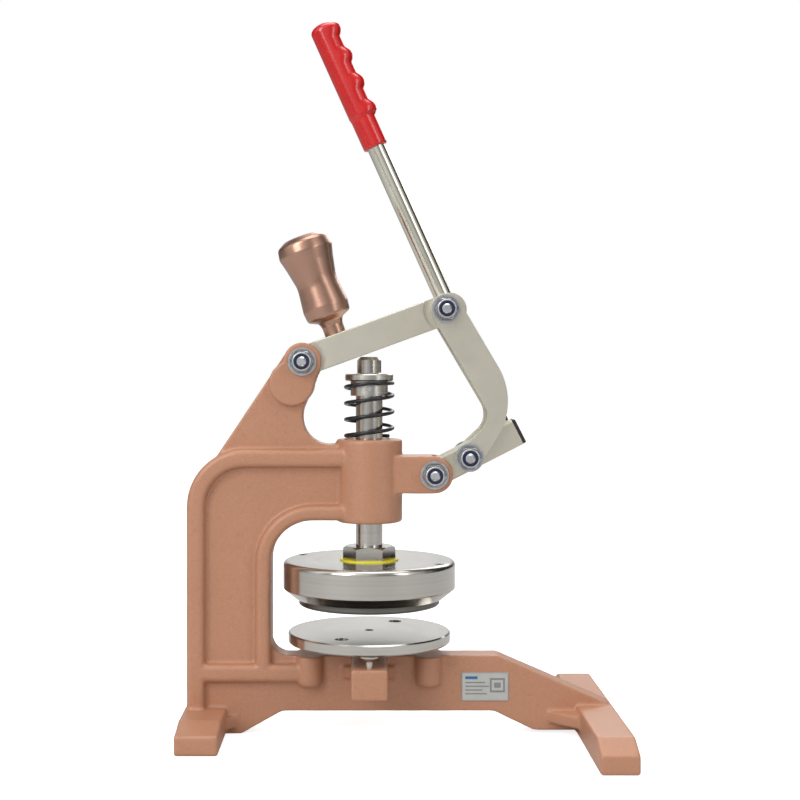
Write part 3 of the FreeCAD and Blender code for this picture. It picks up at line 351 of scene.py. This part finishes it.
def yellow_shim():
    """A painted disc, scuffed brown in places."""
    disc = Finish("yellow_shim", Roughness=0.35, Coat_Weight=0.3)
    cloud = disc.noise(120, 4)
    scuff = disc.noise(600, 3)
    tone = disc.blend(cloud, (0.78, 0.66, 0.01), (0.95, 0.85, 0.06))
    tone = disc.blend((scuff - 0.62).kept() * 3.0, tone, (0.35, 0.30, 0.12))
    return disc.feed(Base_Color=tone, Roughness=0.3 + scuff * 0.2)


def label_film():
    """A plain silver rating label: a border, some grey bars and a blank square."""
    film = Finish("silver_label", Roughness=0.3, Metallic=0.65)
    low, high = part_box("label_plate")
    x, _, z = film.parts(film.place())
    across = (x - low.x) / (high.x - low.x)
    upward = (z - low.z) / (high.z - low.z)

    def patch(left, right, bottom, top):
        """1 inside a rectangle, in shares of the label's width and height."""
        wide = across.above(left) * (1 - across.above(right))
        return wide * upward.above(bottom) * (1 - upward.above(top))

    ink = patch(0.60, 0.92, 0.30, 0.80) - patch(0.64, 0.88, 0.37, 0.73)
    ink = ink + patch(0.69, 0.83, 0.46, 0.64)
    margin, top_row, row_pitch, bar_height = 0.08, 0.62, 0.13, 0.045
    for row, long in enumerate((0.42, 0.50, 0.36, 0.46)):
        level = top_row - row_pitch * row
        ink = ink + patch(margin, margin + long, level, level + bar_height)
    blue = patch(margin, 0.34, 0.76, 0.86)
    rim = 1 - patch(0.025, 0.975, 0.04, 0.96)
    cloud = film.noise(160, 3)
    tone = film.blend(cloud, (0.50, 0.51, 0.49), (0.66, 0.66, 0.63))
    tone = film.blend(ink.kept() * 0.75, tone, (0.13, 0.14, 0.15))
    tone = film.blend(blue, tone, (0.05, 0.20, 0.42))
    tone = film.blend(rim.kept() * 0.5, tone, (0.28, 0.28, 0.28))
    return film.feed(Base_Color=tone, Roughness=0.26 + cloud * 0.12,
                     Metallic=0.65 - ink.kept() * 0.5)


FINISHES = {
    "frame_paint": cast_paint(),
    "bronze": bronze(),
    "zinc_steel": zinc(),
    "blue_nylon": blue_nylon(),
    "polished_steel": turned_steel("polished_steel", RAM_AXIS, sheen=0.16),
    "dark_steel": dark_steel(),
    "support_steel": turned_steel("machined_steel", RAM_AXIS, sheen=0.26),
    "label_film": label_film(),
    "nickel_plate": champagne_plate(),
    "bright_rod": bright_rod(),
    "black_plastic": black_plastic(),
    "red_grip": red_vinyl(),
    "rose_knob": rose_pearl(),
    "black_spring": black_spring(),
    "yellow_shim": yellow_shim(),
}
SLOT_OF = {part["node"]: part["material_slot"] for part in frame["record"]["subparts"]}
BODY_OF = {node: body
           for body, held in frame["record"]["behaviour"]["bodies"].items()
           for node in held}


# ---------------------------------------------------------------- mesh helpers

def stand_for(piece, *nodes):
    """The piece takes the place, body and finish of these nodes."""
    first = nodes[0]
    piece.data.materials.clear()
    piece.data.materials.append(FINISHES[SLOT_OF[first]].material)
    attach(piece, BODY_OF[first])
    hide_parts(*nodes)
    return piece


def placed(data, name):
    """An object in the scene that holds this mesh or curve."""
    piece = bpy.data.objects.new(name, data)
    bpy.context.scene.collection.objects.link(piece)
    return piece


def applied(piece):
    """Turn every modifier into plain mesh."""
    depsgraph = bpy.context.evaluated_depsgraph_get()
    piece.data = bpy.data.meshes.new_from_object(piece.evaluated_get(depsgraph))
    piece.modifiers.clear()
    return piece


def smoothed(piece, smooth_angle):
    """Shade the mesh smooth up to an angle."""
    piece.data.shade_smooth()
    piece.data.set_sharp_from_angle(angle=math.radians(smooth_angle))
    return piece


@contextmanager
def opened(mesh):
    """The mesh opened for editing, and written back afterwards."""
    form = bmesh.new()
    form.from_mesh(mesh)
    yield form
    form.to_mesh(mesh)
    form.free()


def copied(node, name):
    """A clean copy of a node's mesh."""
    mesh = frame["nodes"][node].data.copy()
    mesh.materials.clear()
    with opened(mesh) as form:
        bmesh.ops.remove_doubles(form, verts=form.verts, dist=0.01 * MM)
    if "custom_normal" in mesh.attributes:
        mesh.attributes.remove(mesh.attributes["custom_normal"])
    return placed(mesh, name)


def softened(node, bevel):
    """A node with its sharp edges broken, as a real machined piece has them."""
    piece = copied(node, node + "_finished")
    with opened(piece.data) as form:
        bmesh.ops.dissolve_limit(form, angle_limit=math.radians(1), verts=form.verts, edges=form.edges)
    piece.data.shade_smooth()
    edge = piece.modifiers.new("edge", "BEVEL")
    edge.width = bevel
    edge.segments = 3
    edge.limit_method = "ANGLE"
    edge.angle_limit = math.radians(28)
    edge.use_clamp_overlap = True
    edge.harden_normals = True
    return stand_for(applied(piece), node)


def rounded_profile(corners, steps):
    """Points of an outline of (radius, height, rounding) corners, the roundings as curves."""
    spots = [Vector((radius, height)) for radius, height, _ in corners]
    points = []
    for i, (here, (_, _, rounding)) in enumerate(zip(spots, corners)):
        if not rounding:
            points.append(here)
            continue
        back = spots[i - 1] - here
        on = spots[i + 1] - here
        half = back.angle(on) / 2
        trim = min(rounding / math.tan(half), back.length * 0.49, on.length * 0.49)
        first = here + back.normalized() * trim
        last = here + on.normalized() * trim
        for step in range(steps + 1):
            t = step / steps
            points.append(first * (1 - t) ** 2 + here * (2 * t * (1 - t)) + last * t ** 2)
    return points


def skinned(name, rows, smooth_angle, capped=False):
    """A piece whose faces join each ring of points to the next; a ring may be one point."""
    mesh = bpy.data.meshes.new(name)
    with opened(mesh) as form:
        rings = [[form.verts.new(spot) for spot in row] for row in rows]
        for low, high in zip(rings, rings[1:]):
            for k in range(max(len(low), len(high))):
                around = [low[k % len(low)], low[(k + 1) % len(low)],
                          high[(k + 1) % len(high)], high[k % len(high)]]
                form.faces.new(list(dict.fromkeys(around)))
        if capped:
            form.faces.new(list(reversed(rings[0])))
        bmesh.ops.recalc_face_normals(form, faces=form.faces)
    return smoothed(placed(mesh, name), smooth_angle)


def ring_angles(count):
    """Evenly spaced angles round a ring."""
    return [2 * math.pi * k / count for k in range(count)]


def lathe(name, corners, base, up):
    """A turned piece from (radius, height, rounding) corners in millimetres."""
    turn = UPRIGHT.rotation_difference(up).to_matrix()
    rows = []
    for radius, height in rounded_profile(corners, steps=8):
        angles = ring_angles(96) if radius > 1e-6 else [0.0]
        row = [Vector((radius * math.cos(angle), radius * math.sin(angle), height)) * MM
               for angle in angles]
        rows.append([base + turn @ spot for spot in row])
    return skinned(name, rows, smooth_angle=35)


# ---------------------------------------------------------------- stage, lights and camera

# Brightness of the surroundings by bearing (0 and 1 behind the machine, 0.25 on its left,
# 0.5 on the camera's side, 0.75 on its right) and by height (0 below, 1 above).
# The camera itself sees a plain backdrop.
AROUND = ((0.0, 1.1), (0.06, 0.6), (0.1, 0.06), (0.2, 0.1), (0.27, 0.9), (0.3, 1.4), (0.335, 0.45),
          (0.375, 0.9), (0.42, 1.2), (0.5, 0.8), (0.54, 0.4), (0.6, 0.35), (0.66, 0.9), (0.72, 0.5),
          (0.78, 0.05), (0.9, 0.05), (0.95, 0.6), (1.0, 1.1))
UPWARD = ((0.0, 0.4), (0.42, 0.6), (0.5, 0.8), (0.6, 0.95), (1.0, 1.3))
BACKDROP = 1.25


def stage():
    """A pale paper floor; what the camera sees of it is brighter than what it throws back."""
    bpy.ops.mesh.primitive_plane_add(size=14)
    floor = bpy.context.object
    floor.name = "floor"
    paper = Finish("pale_floor", Roughness=0.8, Specular_IOR_Level=0.1, Emission_Strength=0.8)
    cloud = paper.noise(3, 2)
    paper.feed(Base_Color=paper.blend(cloud, (0.60, 0.60, 0.60), (0.63, 0.63, 0.63)),
               Emission_Color=paper.blend(paper.seen_directly(), (0.0, 0.0, 0.0), (1.0, 1.0, 1.0)))
    floor.data.materials.append(paper.material)


def area_light(name, at, aim, size, power):
    """A soft rectangular lamp that looks at a point."""
    light = bpy.data.lights.new(name, "AREA")
    light.shape = "RECTANGLE"
    light.size, light.size_y = size
    light.energy = power
    lamp = bpy.data.objects.new(name, light)
    lamp.location = at
    lamp.rotation_euler = (Vector(aim) - Vector(at)).to_track_quat("-Z", "Y").to_euler()
    bpy.context.scene.collection.objects.link(lamp)


def studio():
    """A white studio with dark panels at the sides, so that bright metal has something to show."""
    world = bpy.data.worlds.new("studio")
    bpy.context.scene.world = world
    bpy.context.scene.view_settings.view_transform = "Standard"
    world.use_nodes = True
    nodes = Nodes(world.node_tree)
    x, y, z = nodes.parts(nodes.node("ShaderNodeTexCoord", {}, {}, "Generated"))
    bearing = x.bearing_from(y * -1.0)
    around = nodes.greys(bearing / (2 * math.pi) + 0.5, AROUND)
    upward = nodes.greys(z / 2 + 0.5, UPWARD)
    room = nodes.blend(1.0, around, upward, how="MULTIPLY")
    seen = nodes.blend(nodes.seen_directly(), room, (BACKDROP, BACKDROP, BACKDROP))
    background = nodes.tree.nodes["Background"]
    nodes.tree.links.new(seen.socket, background.inputs["Color"])
    background.inputs["Strength"].default_value = 0.8
    area_light("key_left", (-1.1, -1.4, 1.2), (-0.05, 0, 0.25), (0.8, 1.4), 16)
    area_light("fill_right", (1.3, -1.3, 0.9), (0, 0, 0.25), (0.5, 1.3), 5)
    area_light("top", (0.1, 0.1, 1.7), (0, 0, 0.2), (1.2, 1.0), 11)
    area_light("rim_back", (0.5, 1.5, 1.1), (0, 0, 0.3), (1.4, 0.8), 7)


def camera():
    """Straight on from the front, level with the middle of the machine's height."""
    view = bpy.data.cameras.new("camera")
    view.sensor_width = 36.0
    view.lens = 64.35
    view.shift_x = 0.0425
    view.shift_y = -0.0425
    eye = bpy.data.objects.new("camera", view)
    eye.location = (-0.0244, -1.0725, 0.273)
    eye.rotation_euler = (math.radians(90), 0, 0)
    bpy.context.scene.collection.objects.link(eye)
    bpy.context.scene.camera = eye


# ---------------------------------------------------------------- pieces

def cast_frame():
    """The casting with soft inside corners and rounded rims, and a slightly uneven skin."""
    piece = copied("frame_casting", "cast_frame")
    grid = piece.modifiers.new("grid", "REMESH")
    grid.mode = "VOXEL"
    grid.voxel_size = 1.15 * MM
    soft = piece.modifiers.new("soft", "SMOOTH")
    soft.factor = 0.5
    soft.iterations = 3
    smoothed(applied(piece), 60)
    low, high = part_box("frame_casting")
    flat_feet, waves_per_metre, wave_height = 3 * MM, 95, 0.12 * MM
    skin = [(vert.co.copy(), vert.normal.copy()) for vert in piece.data.vertices]
    spots = []
    for spot, normal in skin:
        if spot.z > flat_feet:
            spot += normal * (noise.noise(spot * waves_per_metre) * wave_height)
        spots.extend(min(max(spot[k], low[k]), high[k]) for k in range(3))
    piece.data.vertices.foreach_set("co", spots)
    piece.data.update()
    return stand_for(piece, "frame_casting")


def return_spring():
    """An open coil with its last turns closed against the boss and the collar."""
    low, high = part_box("return_spring")
    wire = 2.8 * MM
    reach = (high.x - low.x) / 2 - wire / 2
    centre = (low + high) / 2
    turns, closed, steps, start_angle = 4.0, 0.35, 48, 0.6
    curve = bpy.data.curves.new("spring_wire", "CURVE")
    curve.dimensions = "3D"
    curve.bevel_depth = wire / 2
    curve.bevel_resolution = 5
    line = curve.splines.new("POLY")
    total = int(turns * steps)
    line.points.add(total)
    bottom, top = low.z + wire / 2, high.z - wire / 2
    for k in range(total + 1):
        turn = k / steps
        lift = min(max((turn - closed) / (turns - 2 * closed), 0.0), 1.0)
        rise = bottom + lift * (top - bottom)
        angle = 2 * math.pi * turn + start_angle
        line.points[k].co = (centre.x + reach * math.cos(angle),
                             centre.y + reach * math.sin(angle), rise, 1.0)
    curve.use_fill_caps = True
    coil = placed(curve, "spring_curve")
    depsgraph = bpy.context.evaluated_depsgraph_get()
    mesh = bpy.data.meshes.new_from_object(coil.evaluated_get(depsgraph))
    bpy.data.objects.remove(coil)
    spring = stand_for(smoothed(placed(mesh, "return_spring_coil"), 50), "return_spring")
    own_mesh(spring)
    return spring


# Corners of the knob as (radius, height, rounding) in millimetres, from its foot up.
KNOB_OUTLINE = ((0, 0, 0), (8.0, 0, 0.6), (8.0, 7, 5), (9.4, 11, 4), (16.6, 14.2, 3.5),
                (17.5, 22, 8), (15.3, 41, 26), (18.6, 57, 14), (20.8, 65.5, 5), (19.6, 73, 4.5),
                (13, 77, 8), (0, 78, 0))


def knob():
    """The turned knob: flared neck, waist and a wide domed head, square to the press arm."""
    up, along = leaning(20)
    from_pivot, above_pivot = 30 * MM, 11.1 * MM
    root = Vector((ARM_PIVOT.x, 0, ARM_PIVOT.z)) + along * from_pivot + up * above_pivot
    return stand_for(lathe("knob_turned", KNOB_OUTLINE, root, up), "knob")


def grip_radius(height, long):
    """Radius of the plain grip in millimetres, drawn in at its lower rim, and how far its dome is open."""
    cuff, cuff_slope, cuff_radius, body_step = 24.0, 3, 9.65, 0.65
    rim, rim_depth, dome = 1.5, 0.9, 6.5
    plain = cuff_radius + body_step * min(1.0, max(0.0, (height - cuff) / cuff_slope))
    plain -= rim_depth * max(0.0, 1 - height / rim) ** 2
    into_dome = max(0.0, (height - (long - dome)) / dome)
    return plain, max(0.0, 1 - into_dome ** 2.4) ** 0.5


def finger_swell(height):
    """Share of the full swelling at a height: four humps, the last one longer on its upper side."""
    first, pitch, last = 29.7, 22.0, 3
    share = 0.0
    for finger in range(last + 1):
        peak = first + pitch * finger
        half = 9.0 if finger == last and height > peak else 7.0
        share = max(share, max(0.0, 1 - (abs(height - peak) / half) ** 2) ** 1.5)
    return share


def grip():
    """A dipped finger grip: a plain cuff, finger swellings on the operator's side, a domed end."""
    up, front = leaning(24.2)
    side = up.cross(front)
    from_boss, long, swell_height, rings = 241.4, 103.5, 3.2, 150
    start = middle("handle_boss")
    start.y = middle("handle_rod").y
    start += up * from_boss * MM
    rows = []
    for i in range(rings):
        height = long * i / rings
        plain, closing = grip_radius(height, long)
        swell = swell_height * finger_swell(height)
        row = []
        for angle in ring_angles(72):
            facing = max(0.0, math.cos(angle)) ** 1.6
            reach = (plain + swell * facing) * closing
            spot = (front * math.cos(angle) + side * math.sin(angle)) * reach + up * height
            row.append(start + spot * MM)
        rows.append(row)
    rows.append([start + up * (long * MM)])
    return stand_for(skinned("grip_moulded", rows, smooth_angle=60, capped=True), "grip")


def dress_nodes():
    """Every node gets the finish of its slot."""
    for name, shown in frame["nodes"].items():
        shown.data.materials.clear()
        shown.data.materials.append(FINISHES[SLOT_OF[name]].material)


stage()
studio()
camera()
dress_nodes()
cast_frame()
return_spring()
knob()
grip()
for bar in ("press_arm", "link_plate_front", "link_plate_rear", "lever_bar"):
    softened(bar, 0.6 * MM)
for fitting in ("die_lock_nut", "handle_boss", "label_plate", "bar_end_cap"):
    softened(fitting, 0.25 * MM)
